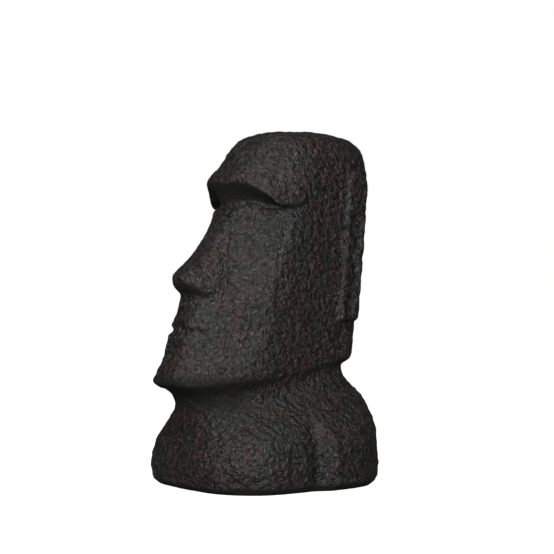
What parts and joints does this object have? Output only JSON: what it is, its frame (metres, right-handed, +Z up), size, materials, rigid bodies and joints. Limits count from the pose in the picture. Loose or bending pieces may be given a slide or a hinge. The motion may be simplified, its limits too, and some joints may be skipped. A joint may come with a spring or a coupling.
{
  "type": "moai stone head statue",
  "caption": "Tall moai head and shoulders bust with a visor brow, flared nose, jutting jaw and long ears, standing on its flat underside.",
  "frame": {"origin": "on the ground, under the middle of the statue's whole box", "axes": "+Z up; the face looks along -Y; +X is the statue's own left side, and both halves mirror across X = 0"},
  "size_m": [0.2978, 0.3238, 0.5],
  "materials": {
    "dark_cast_stone": "matte"
  },
  "bodies": {
    "root": {"moai_statue": "dark_cast_stone"}
  },
  "joints": []
}
